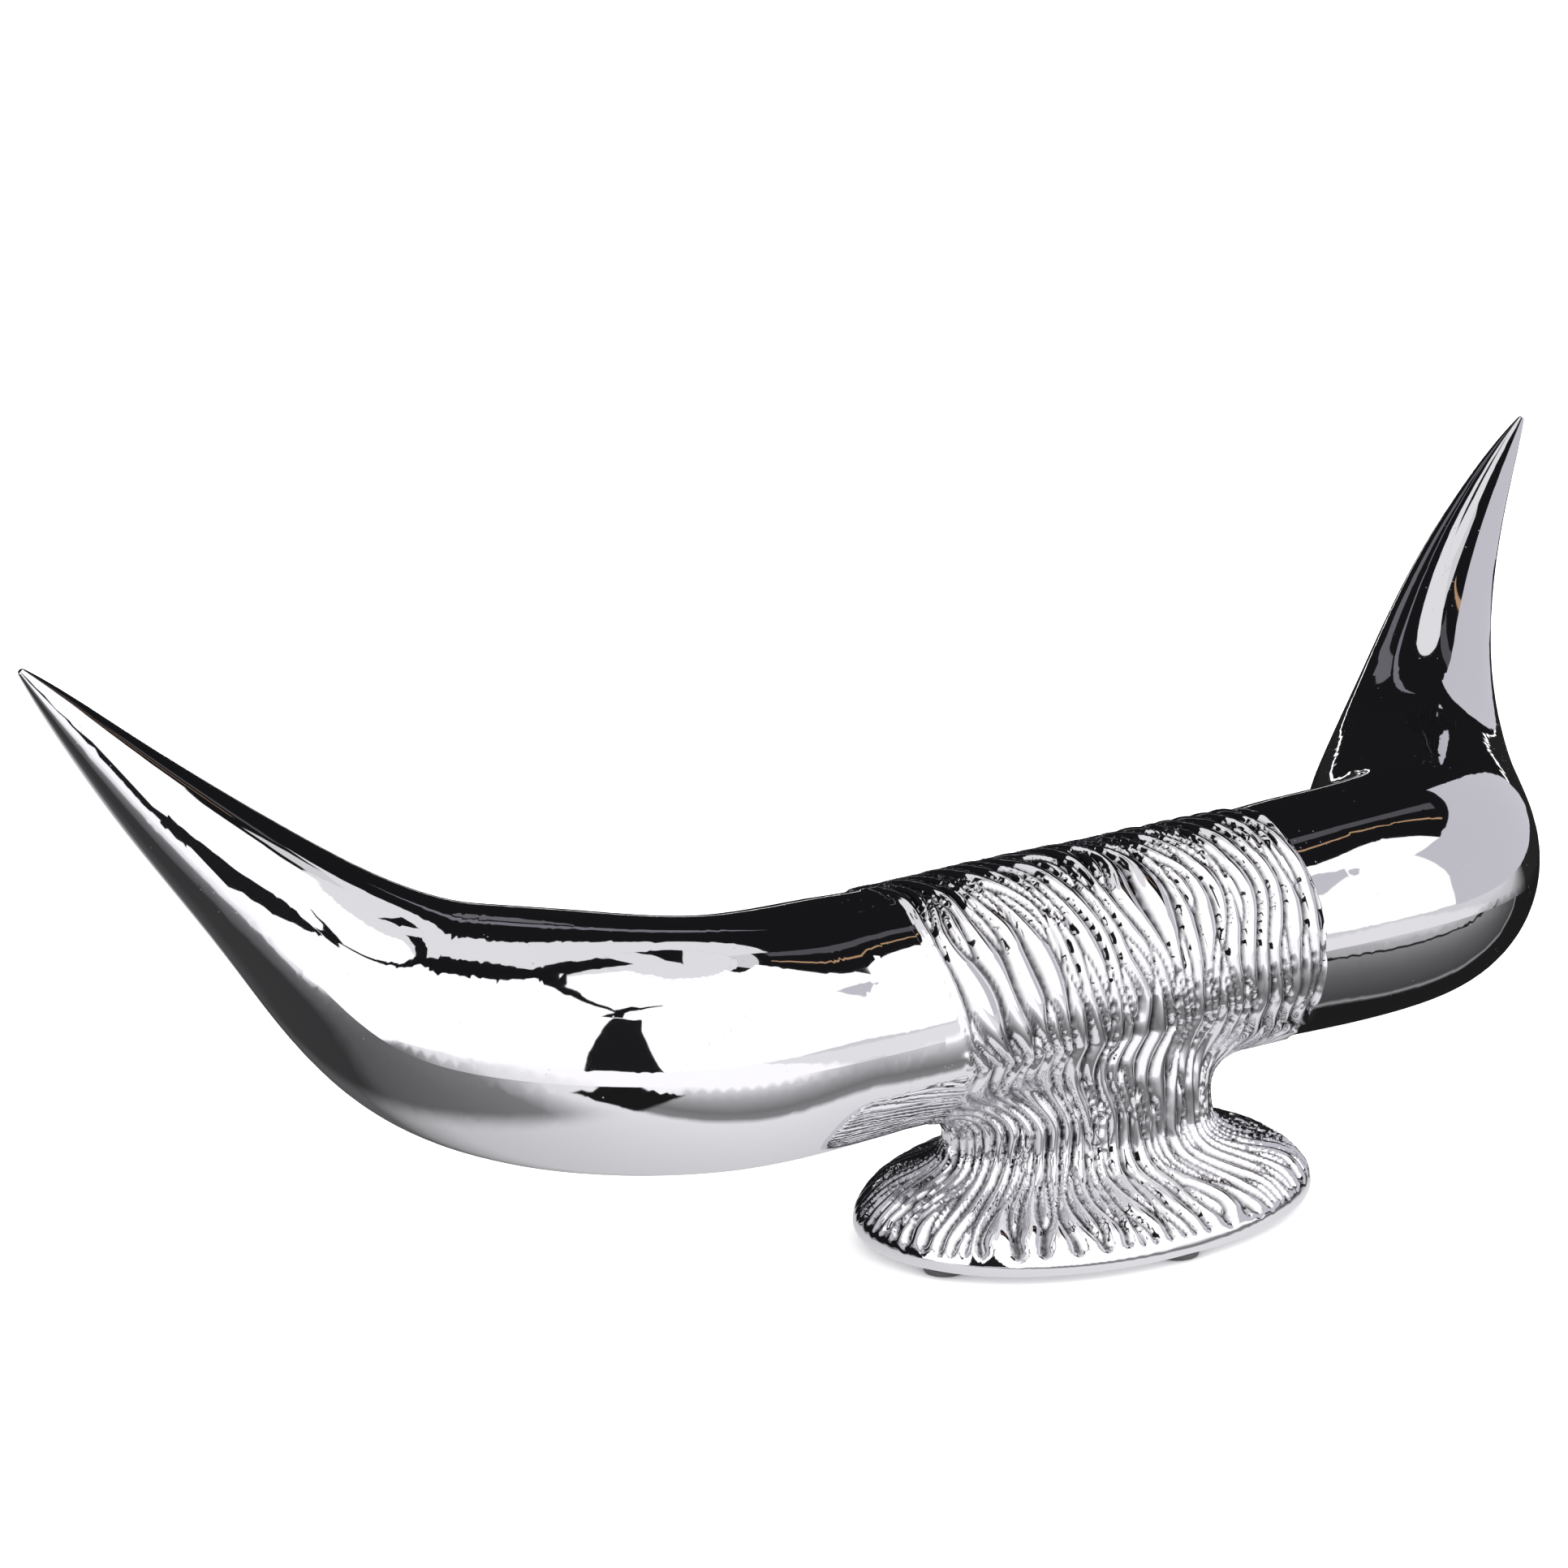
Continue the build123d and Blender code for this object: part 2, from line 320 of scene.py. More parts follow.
@dataclass(frozen=True)
class MattSkin:
    """Powder coat or rubber: fine orange-peel bump and dusty colour."""

    name: str
    tint: Colour
    roughness: float
    peel_scale: float = 1500.0

    def make(self) -> bpy.types.Material:
        """Build the material."""
        material, graph = new_material(self.name)
        dust = graph.noise(140.0, 5.0)
        pale = tuple(min(1.0, c * 1.8 + 0.01) for c in self.tint)
        graph.surface(
            "ShaderNodeBsdfPrincipled",
            {
                "Base Color": graph.ramp(dust, [(0.35, self.tint), (0.8, pale)]),
                "Roughness": self.roughness + dust * 0.12,
                "Normal": graph.bump(graph.noise(self.peel_scale, 2.0), 0.5, 0.00005),
            },
        )
        return material


class Finish(Enum):
    """The finishes that the sculpture's pieces have."""

    CHROME = ChromePlate()
    # The carved chrome carries painted shade in its groove bottoms.
    CARVED_CHROME = ChromePlate(name="carved_chrome", roughness=0.04, grain=0.35)
    ALUMINIUM = GrainedMetal("turned_aluminium", (0.60, 0.60, 0.61), 0.32)
    ZINC = GrainedMetal("zinc_plate", (0.55, 0.56, 0.59), 0.28, 1400.0)
    POWDER_COAT = MattSkin("powder_coat", (0.022, 0.022, 0.024), 0.5)
    RUBBER = MattSkin("bumper_rubber", (0.03, 0.03, 0.032), 0.55)


_made: dict[Finish, bpy.types.Material] = {}


def dress(piece: bpy.types.Object, finish: Finish) -> None:
    """Give a piece one finish all over.

    Args:
        piece: The object to dress.
        finish: The finish it gets.
    """
    if finish not in _made:
        _made[finish] = finish.value.make()
    piece.data.materials.clear()
    piece.data.materials.append(_made[finish])


# ---- studio ---------------------------------------------------------------------------------


def toward(azimuth: float, elevation: float) -> Vector:
    """Direction from angles in degrees; azimuth 0 is straight in front of the bar, + to the right."""
    turn, rise = math.radians(azimuth), math.radians(elevation)
    return Vector((math.cos(rise) * math.sin(turn), -math.cos(rise) * math.cos(turn), math.sin(rise)))


def show_in_metal_only(card: bpy.types.Object) -> None:
    """Hide a staged card from everything but mirror reflections."""
    card.visible_camera = False
    card.visible_diffuse = False
    card.visible_shadow = False


def hang(name: str, points: list[Vector], faces: list[tuple[int, ...]], glow: Colour, strength: float) -> None:
    """Hang a glowing sheet that only the metal mirrors.

    Args:
        name: The sheet's name.
        points: Its corners.
        faces: Its faces, as numbers of corners.
        glow: Its colour.
        strength: Its brightness.
    """
    mesh = bpy.data.meshes.new(name)
    mesh.from_pydata(points, [], faces)
    sheet = bpy.data.objects.new(name, mesh)
    bpy.context.scene.collection.objects.link(sheet)
    material, graph = new_material(name)
    graph.surface("ShaderNodeEmission", {"Color": glow, "Strength": strength})
    mesh.materials.append(material)
    show_in_metal_only(sheet)


@dataclass(frozen=True)
class Card:
    """A curved card between two azimuths, at its foot and its head, and two elevations."""

    name: str
    foot: tuple[float, float]
    head: tuple[float, float]
    rise: tuple[float, float]
    glow: Colour
    radius: float = 1.1
    across: int = 30
    up: int = 12

    def build(self, centre: Vector) -> None:
        """Hang the card round the middle of the bar."""
        points, faces = [], []
        for j in range(self.up + 1):
            share = j / self.up
            elevation = self.rise[0] + (self.rise[1] - self.rise[0]) * share
            left = self.foot[0] + (self.head[0] - self.foot[0]) * share
            right = self.foot[1] + (self.head[1] - self.foot[1]) * share
            for i in range(self.across + 1):
                azimuth = left + (right - left) * i / self.across
                points.append(centre + self.radius * toward(azimuth, elevation))
        row = self.across + 1
        for j in range(self.up):
            for k in range(j * row, j * row + self.across):
                faces.append((k, k + 1, k + row + 1, k + row))
        hang(self.name, points, faces, self.glow, CARD_STRENGTH)


@dataclass(frozen=True)
class Ribbon:
    """A dark gap between cards: azimuth, elevation and half width, in degrees, along its route."""

    name: str
    route: tuple[tuple[float, float, float], ...]
    radius: float = 1.0

    def build(self, centre: Vector) -> None:
        """Hang the ribbon round the middle of the bar."""
        ways = [toward(azimuth, elevation) for azimuth, elevation, _ in self.route]
        points = []
        for k, way in enumerate(ways):
            ahead = ways[min(k + 1, len(ways) - 1)] - ways[max(k - 1, 0)]
            aside = way.cross(ahead).normalized() * math.tan(math.radians(self.route[k][2]))
            points += [centre + self.radius * (way + aside), centre + self.radius * (way - aside)]
        faces = [(2 * k, 2 * k + 1, 2 * k + 3, 2 * k + 2) for k in range(len(ways) - 1)]
        hang(self.name, points, faces, BLACK, 1.0)


CARD_STRENGTH = 1.3
WHITE: Colour = (1.0, 0.985, 0.99)
LILAC: Colour = (0.50, 0.487, 0.53)
BLACK: Colour = (0.010, 0.010, 0.011)
CARDS = (
    Card("front_wall", (-98, 62), (-98, 62), (-4, 33), WHITE),
    Card("front_wall_top", (-98, 43), (-98, 43), (33, 76), WHITE),
    Card("key_head", (2, 63), (2, 58), (31, 73), WHITE, 0.5),
    Card("lilac_wall", (47, 112), (47, 108), (-3, 37), LILAC, 0.46),
    Card("overhead", (-178, 150), (-178, 150), (73, 89.9), (0.70, 0.69, 0.70)),
    Card("overhead_back", (100, 262), (100, 262), (61, 73), (0.70, 0.69, 0.70)),
    Card("overhead_line", (60, 100), (60, 100), (66, 73), (0.60, 0.59, 0.60)),
    Card("stand_shadow", (-64, -41), (-61, -51), (-5, 36), BLACK, 0.9),
    Card("copper_strip", (78, 80), (79, 81), (44, 62), (0.42, 0.26, 0.15)),
    Card("dim_strip", (91, 99), (91, 99), (46, 62), (0.075, 0.072, 0.08)),
    Card("lilac_arc", (134, 168), (150, 172), (42, 46), (0.16, 0.155, 0.18)),
    Card("back_strip", (166, 172), (160, 166), (2, 40), (0.12, 0.118, 0.13)),
)
GAPS = (
    Ribbon(
        "gap_over",
        (
            (-61, 37, 2.5),
            (-61, 41, 0.5),
            (-73, 47, 0.9),
            (-88, 54, 1.4),
            (-104, 61, 2.6),
            (-116, 68, 3.2),
            (-135, 76, 3.6),
        ),
    ),
    Ribbon("gap_spur", ((-59, 37, 2.0), (-59, 42, 2.2), (-54, 46, 1.0), (-44, 49, 0.3))),
)


@dataclass(frozen=True)
class MirroredFloorShade:
    """The floor as the metal mirrors it: a glowing sheet with painted shade and painted light, in bands of
    grey that run with the bar.
    """

    lift: float = 0.0004
    size: float = 9.0
    strength: float = 1.25
    reach: float = 0.3
    stand_tone: Colour = (0.01, 0.01, 0.01)

    def build(self) -> bpy.types.Object:
        """Lay the mat and shade it."""
        bpy.ops.object.select_all(action="DESELECT")
        bpy.ops.mesh.primitive_plane_add(size=self.size, location=(0, 0, self.lift))
        mat = bpy.context.object
        mat.name = "mirrored_floor_shade"
        material, graph = new_material("mirrored_floor_shade")
        split = graph.add("ShaderNodeSeparateXYZ", {}, {"Vector": graph.place()})
        x, y = split.out(0), split.out(1)
        # Painted shadow: the bands go darker grey near the bar and behind it, as the sculpture's shadow on the
        # floor, and light further out.
        near = self._bands(
            graph,
            y,
            ((-0.21, 1.0), (-0.186, 0.62), (-0.145, 0.36), (-0.112, 0.17), (-0.098, 0.22), (-0.090, 0.74),
             (0.02, 0.50), (0.07, 0.10), (0.20, 0.05), (0.27, 0.75)),
        )
        left = self._bands(
            graph,
            y,
            ((-0.20, 1.0), (-0.08, 0.72), (-0.04, 0.19), (0.0, 0.13), (0.04, 0.09), (0.06, 0.035),
             (0.13, 0.037), (0.20, 0.08), (0.29, 0.5)),
        )
        right = self._bands(
            graph,
            y,
            ((-0.23, 0.75), (-0.19, 0.40), (-0.168, 0.36), (-0.164, 0.01), (-0.158, 0.01), (-0.154, 0.22),
             (-0.10, 0.11), (-0.060, 0.055), (-0.056, 0.30), (-0.053, 0.012), (0.30, 0.010)),
        )
        wide = self._bands(graph, y, ((-0.30, 0.62), (-0.12, 0.5), (0.0, 0.02), (0.3, 0.015)))
        tone = graph.blend("MIX", self._step(graph, x, -0.225, -0.19), left, near)
        tone = graph.blend("MIX", self._step(graph, x, 0.06, 0.10), tone, right)
        tone = graph.blend("MIX", self._step(graph, x, 0.33, 0.45), tone, wide)
        # A near-black patch of stand_tone lies on the mirrored floor to the front left of the bar.
        patch = self._step(graph, x, -0.29, -0.28) * (1.0 - self._step(graph, x, -0.20, -0.19))
        patch = patch * self._step(graph, y, -0.17, -0.165) * (1.0 - self._step(graph, y, -0.095, -0.09))
        tone = graph.blend("MIX", patch, tone, self.stand_tone)
        graph.surface("ShaderNodeEmission", {"Color": tone, "Strength": self.strength})
        mat.data.materials.append(material)
        show_in_metal_only(mat)
        return mat

    def _bands(self, graph: Graph, along: Wire, stops: Sequence[tuple[float, float]]) -> Wire:
        """Tones at places along one direction, as far as the mat's reach to each side."""
        span = 2.0 * self.reach
        greys = []
        for place, tone in stops:
            greys.append(((place + self.reach) / span, (tone, 0.985 * tone, min(1.0, 1.01 * tone))))
        return graph.ramp((along + self.reach) * (1.0 / span), greys)

    def _step(self, graph: Graph, value: Wire, low: float, high: float) -> Wire:
        """Rise from 0 at low to 1 at high."""
        sockets = {"Value": value, "From Min": low, "From Max": high}
        return graph.add("ShaderNodeMapRange", {"interpolation_type": "SMOOTHSTEP"}, sockets).out(0)


@dataclass
class Studio:
    """Pale floor, soft lights, the cards that the chrome mirrors, and the camera."""

    centre: Vector
    azimuth: float = -37.52
    elevation: float = 17.46
    distance: float = 1.3796
    lens: float = 120.1
    swing: float = 3.09
    lift: float = 2.0
    floor_size: float = 60.0
    daylight: float = 2.4

    def floor(self) -> None:
        """Lay the floor under the bumpers."""
        bpy.ops.mesh.primitive_plane_add(size=self.floor_size, location=(0, 0, 0))
        floor = bpy.context.object
        floor.name = "floor"
        material, graph = new_material("floor_paper")
        cloud = graph.noise(3.0, 2.0)
        tone = graph.ramp(cloud, [(0.2, (0.90, 0.90, 0.905)), (0.8, (0.93, 0.93, 0.93))])
        graph.surface("ShaderNodeBsdfPrincipled", {"Base Color": tone, "Roughness": 0.75})
        floor.data.materials.append(material)

    def lamp(self) -> None:
        """Hang one large soft lamp for a faint shadow; the metal doesn't mirror it."""
        lamp = bpy.data.lights.new("overhead", "AREA")
        lamp.shape = "DISK"
        lamp.size = 2.6
        lamp.energy = 4.0
        holder = bpy.data.objects.new("overhead", lamp)
        holder.location = (-0.2, -0.3, 2.2)
        holder.rotation_euler = (-holder.location).to_track_quat("-Z", "Y").to_euler()
        holder.visible_glossy = False
        bpy.context.scene.collection.objects.link(holder)

    def world(self) -> None:
        """Light the floor evenly, and keep the room that the metal mirrors dark."""
        world = bpy.data.worlds.new("room")
        world.use_nodes = True
        graph = Graph(world.node_tree)
        glossy = graph.add("ShaderNodeLightPath", {}, {}).out("Is Glossy Ray")
        day = {"Color": (1.0, 1.0, 1.0), "Strength": self.daylight}
        bright = graph.add("ShaderNodeBackground", {}, day).out(0)
        dark = graph.add("ShaderNodeBackground", {}, {"Color": BLACK, "Strength": 1.0}).out(0)
        mixed = graph.add("ShaderNodeMixShader", {}, {0: glossy, 1: bright, 2: dark}).out(0)
        graph.add("ShaderNodeOutputWorld", {}, {"Surface": mixed})
        bpy.context.scene.world = world

    def camera(self) -> None:
        """Set the camera up in front of the left horn."""
        turn, rise = math.radians(self.azimuth), math.radians(self.elevation)
        back = Vector((math.sin(turn) * math.cos(rise), -math.cos(turn) * math.cos(rise), math.sin(rise)))
        data = bpy.data.cameras.new("camera")
        data.lens = self.lens
        data.sensor_width = 36.0
        camera = bpy.data.objects.new("camera", data)
        camera.location = self.centre + back * self.distance
        right = Vector((math.cos(turn), math.sin(turn), 0))
        ahead = -back
        up = back.cross(right)
        swing, lift = math.radians(self.swing), math.radians(self.lift)
        right_seen = right * math.cos(swing) + ahead * math.sin(swing)
        ahead_swung = ahead * math.cos(swing) - right * math.sin(swing)
        up_seen = up * math.cos(lift) - ahead_swung * math.sin(lift)
        ahead_seen = up * math.sin(lift) + ahead_swung * math.cos(lift)
        matrix = camera.matrix_world.to_3x3()
        matrix.col[0], matrix.col[1], matrix.col[2] = right_seen, up_seen, -ahead_seen
        camera.rotation_euler = matrix.to_euler()
        bpy.context.scene.collection.objects.link(camera)
        bpy.context.scene.camera = camera

    def build(self) -> None:
        """Set up everything round the sculpture."""
        self.floor()
        self.lamp()
        self.world()
        # The mirrored floor carries painted shade and painted light that only the metal sees.
        MirroredFloorShade().build()
        for card in CARDS + GAPS:
            card.build(self.centre)
        self.camera()
        bpy.context.scene.view_settings.view_transform = "Standard"


# ---- carved fur -----------------------------------------------------------------------------


def smooth_step(low: float, high: float, value: np.ndarray) -> np.ndarray:
    """Rise smoothly from 0 at low to 1 at high."""
    share = np.clip((value - low) / (high - low), 0.0, 1.0)
    return share * share * (3.0 - 2.0 * share)


def mix(low: np.ndarray, high: np.ndarray, share: np.ndarray) -> np.ndarray:
    """Blend from low to high as the share goes from 0 to 1."""
    return low + (high - low) * share


def rounded_corner(side: np.ndarray, face: np.ndarray, radius: float) -> np.ndarray:
    """Distance outside two surfaces whose shared edge is rounded."""
    side, face = side + radius, face + radius
    outside = np.hypot(np.maximum(side, 0.0), np.maximum(face, 0.0))
    return np.minimum(np.maximum(side, face), 0.0) + outside - radius


class SoftNoise:
    """Smooth random field over space, from 0 to 1, read from a seeded table."""

    SIZE = 24

    def __init__(self, seed: int) -> None:
        """Draw the table.

        Args:
            seed: Seed of the random draws.
        """
        self.table = np.random.default_rng(seed).random((self.SIZE, self.SIZE, self.SIZE))

    def at(self, places: np.ndarray, cell: float) -> np.ndarray:
        """Read the field.

        Args:
            places: Points, in millimetres, one a row.
            cell: Distance over which the field changes, in millimetres.

        Returns:
            One value a point.
        """
        scaled = places / cell + 100.0
        corner = np.floor(scaled).astype(int)
        share = scaled - corner
        share = share * share * (3.0 - 2.0 * share)
        total = np.zeros(len(places))
        for step in np.ndindex(2, 2, 2):
            weight = np.prod(np.where(np.array(step) == 1, share, 1.0 - share), axis=1)
            i, j, k = ((corner + step) % self.SIZE).T
            total += weight * self.table[i, j, k]
        return total


@dataclass(frozen=True)
class SaddleForm:
    """Smooth form under the fur, in millimetres from the middle of the bar's axis."""

    sleeve_half_length: float = 62.5
    sleeve_spare: float = 4.5
    sleeve_radius: float = 32.7
    neck_semi: tuple[float, float] = (40.2, 25.7)
    neck_offset: float = -4.5
    foot_semi: tuple[float, float] = (66.5, 48.2)
    foot_offset: float = -7.3
    squareness: float = 2.1
    bottom: float = -64.2
    rim_edge_radius: float = 2.4
    flare_height: float = -49.8
    upper_reach: float = 2.0
    lower_reach: float = 3.0

    def section(self, z: np.ndarray) -> tuple[np.ndarray, np.ndarray, np.ndarray]:
        """Half width, half depth and middle of the foot or neck at a height."""
        above = z - self.flare_height
        bend = np.logaddexp(0.0, above) * (1.0 / self.upper_reach - 1.0 / self.lower_reach)
        spread = 1.0 / (1.0 + np.exp(np.clip(above / self.lower_reach + bend, -30.0, 30.0)))
        half_x = mix(self.neck_semi[0], self.foot_semi[0], spread)
        half_y = mix(self.neck_semi[1], self.foot_semi[1], spread)
        return half_x, half_y, mix(self.neck_offset, self.foot_offset, spread)

    def distance(self, places: np.ndarray) -> np.ndarray:
        """Rough distance outside the form, below 0 inside it."""
        x, y, z = places.T
        end = abs(x) - self.sleeve_half_length - self.sleeve_spare
        sleeve = np.maximum(np.hypot(y, z) - self.sleeve_radius, end)
        half_x, half_y, middle = self.section(z)
        power = self.squareness
        reach = (abs(x / half_x) ** power + abs((y - middle) / half_y) ** power) ** (1.0 / power)
        side = (reach - 1.0) * np.hypot(x, y - middle) / np.maximum(reach, 0.05)
        stand = np.maximum(rounded_corner(side, self.bottom - z, self.rim_edge_radius), z + 3.0)
        blend = 4.0 + 6.0 * smooth_step(22.0, 44.0, abs(x))
        overlap = np.maximum(blend - abs(sleeve - stand), 0.0) / blend
        return np.minimum(sleeve, stand) - overlap * overlap * blend * 0.25

    def slope(self, places: np.ndarray) -> np.ndarray:
        """Gradient of the distance."""
        step = 0.02
        sides = [self.distance(places + step * way) - self.distance(places - step * way) for way in np.eye(3)]
        return np.stack(sides, axis=1) / (2.0 * step)

    def settle(self, places: np.ndarray, rounds: int = 6) -> tuple[np.ndarray, np.ndarray]:
        """Bring points near the form onto it.

        Args:
            places: The points, one a row.
            rounds: How many times each point is moved.

        Returns:
            The moved points and the outward direction at each.
        """
        for _ in range(rounds):
            slope = self.slope(places)
            steepness = np.maximum((slope**2).sum(axis=1), 0.05)
            move = -slope * (self.distance(places) / steepness)[:, None]
            length = np.maximum(np.linalg.norm(move, axis=1, keepdims=True), 1e-9)
            places = places + move * np.minimum(1.0, 1.5 / length)
        slope = self.slope(places)
        return places, slope / np.maximum(np.linalg.norm(slope, axis=1, keepdims=True), 1e-9)


@dataclass
class FurPattern:
    """Locks of fur that wrap the sleeve, run down the neck and fan out over the foot."""

    form: SaddleForm
    sleeve_pitch: float = 5.7
    locks_round_foot: float = 60.0
    slant: float = 0.28
    depth: float = 2.9
    opening: float = 0.82
    plain_drop: float = 1.3
    wrap_radius: float = 32.0
    lean: float = 110.0
    warp_locks: float = 2.2
    warp_cell: float = 28.0
    bare_edge: float = -61.8
    band_top: float = -58.6
    seed: int = 7

    def __post_init__(self) -> None:
        """Draw the tables that the locks' ends and shapes come from."""
        self.warp = SoftNoise(self.seed)
        self.wave = SoftNoise(self.seed + 1)
        self.draws = np.random.default_rng(self.seed + 2).random((512, 6))

    def across(self, places: np.ndarray) -> tuple[np.ndarray, np.ndarray, np.ndarray]:
        """Number of locks counted across the fur, length along it and closeness to its parting.

        Args:
            places: Points on the form.

        Returns:
            Count across, length along in millimetres, and 0 on the parting to 1 off it.
        """
        x, y, z = places.T
        turn = np.arctan2(-y, z)
        lean = np.radians(self.lean)
        swing = np.where(abs(turn) < lean, turn, np.sign(turn) * lean * (np.pi - abs(turn)) / (np.pi - lean))
        fade = 1.0 - 0.8 * smooth_step(10.0, 59.0, x)
        on_sleeve = (x - self.slant * self.wrap_radius * swing * fade) / self.sleeve_pitch
        half_x, half_y, middle = self.form.section(z)
        bearing = np.arctan2(x / half_x, -(y - middle) / half_y)
        folded = np.where(abs(bearing) > np.pi / 2, np.sign(bearing) * np.pi - bearing, bearing)
        on_foot = folded * self.locks_round_foot / (2.0 * np.pi)
        down = smooth_step(14.0, 36.0, -z)
        front = np.where(y < middle, 1.0, -1.0)
        out = np.maximum(np.hypot(x, y - middle) - 30.0, 0.0)
        along = mix(self.wrap_radius * turn, front * (54.0 - z + out), down)
        seam = np.minimum(self.wrap_radius * (np.pi - abs(turn)) + 40.0 * down, 12.0)
        fold = np.where(down > 0.5, (np.pi / 2 - abs(folded)) * half_x, 12.0)
        parting = smooth_step(0.0, 1.6, np.minimum(seam, fold))
        on_foot = on_foot - front * self.slant * self.wrap_radius * lean / self.sleeve_pitch
        return mix(on_sleeve, on_foot, down), along, parting

    def groove_line(self, line: np.ndarray, along: np.ndarray) -> tuple[np.ndarray, np.ndarray]:
        """Where one groove runs, and half the width of the short lock that opens in it.

        Args:
            line: Whole number of each groove.
            along: Length along.

        Returns:
            The groove's place counted across, and the half width, 0 where no lock opens.
        """
        row = (line.astype(int) * 7) % 512
        first, second, third, fourth, fifth, _ = self.draws[row].T
        sway = 0.20 * np.sin(along / (8.0 + 5.0 * first) + 6.3 * second)
        sway += 0.07 * np.sin(along / (3.6 + 2.0 * third) + 6.3 * fourth)
        length = 34.0 + 26.0 * fifth
        place = along / length + 9.0 * third
        number = np.floor(place)
        own = (row + number.astype(int) * 37 + 11) % 512
        start, extent = 0.30 * self.draws[own, 0], 0.45 + 0.25 * self.draws[own, 1]
        share = np.clip((place - number - start) / extent, 0.0, 1.0)
        opened = np.where(self.draws[own, 2] < self.opening, 0.23 + 0.13 * self.draws[own, 3], 0.0)
        return line + 0.5 + sway, opened * np.sin(np.pi * share) ** 0.75

    def strands(self, count: np.ndarray, along: np.ndarray) -> np.ndarray:
        """Height of the locks, 0 in the grooves between them and 1 on the tallest crest.

        Args:
            count: Count across.
            along: Length along.

        Returns:
            The height at each point.
        """
        tallest = np.zeros(len(count))
        nearest = np.floor(count + 0.5)
        for beside in (-1.0, 0.0, 1.0):
            lock = nearest + beside
            left, left_open = self.groove_line(lock - 1.0, along)
            right, right_open = self.groove_line(lock, along)
            between = (left + left_open, right - right_open)
            opened = (right - right_open, right + right_open)
            for low, high in (between, opened):
                width = np.maximum(high - low, 1e-3)
                off = np.clip(abs(count - 0.5 * (low + high)) / (0.5 * width), 0.0, 1.0)
                crest = (1.0 - off**2.0) ** 0.85 * np.clip(width / 0.42, 0.0, 1.0) ** 0.7
                tallest = np.maximum(tallest, crest)
        return tallest

    def relief(self, places: np.ndarray) -> tuple[np.ndarray, np.ndarray]:
        """How far the carving sinks below the form.

        Args:
            places: Points on the form.

        Returns:
            Depth in millimetres, and the share of a groove's bottom, 0 to 1.
        """
        x, y, z = places.T
        count, along, parting = self.across(places)
        warped = count + self.warp_locks * (self.warp.at(places, self.warp_cell) - 0.5)
        height = self.strands(warped, along) * (0.84 + 0.16 * self.wave.at(places, 11.0)) * parting
        depth = self.depth * (1.0 - height)
        ragged = 1.6 * (self.draws[(np.floor(warped * 2.0).astype(int)) % 512, 0] - 0.5)
        fur = smooth_step(self.band_top - 1.0, self.band_top + 1.0, z + 0.6 * ragged - 0.8 * height)
        depth = depth * fur
        turn = np.arctan2(-y, z)
        drift = 9.0 * np.where(turn > 0, smooth_step(0.8, 2.3, turn), smooth_step(1.9, 3.1, -turn))
        edge = self.bare_edge + drift + 2.4 * (self.draws[(np.floor(along / 5.0).astype(int)) % 512, 1] - 0.5)
        covered = smooth_step(0.0, 1.6, x - edge - 1.2 * (1.0 - height))
        covered = np.maximum(covered, smooth_step(24.0, 33.0, -z) * smooth_step(-50.0, -44.0, x))
        covered = np.maximum(covered, smooth_step(35.0, 39.0, -z))
        depth = mix(self.plain_drop, depth, covered)
        # The chrome darkens its colour by this groove share, as painted shade.
        groove = (1.0 - smooth_step(0.12, 0.80, height)) * fur * covered
        return depth, groove


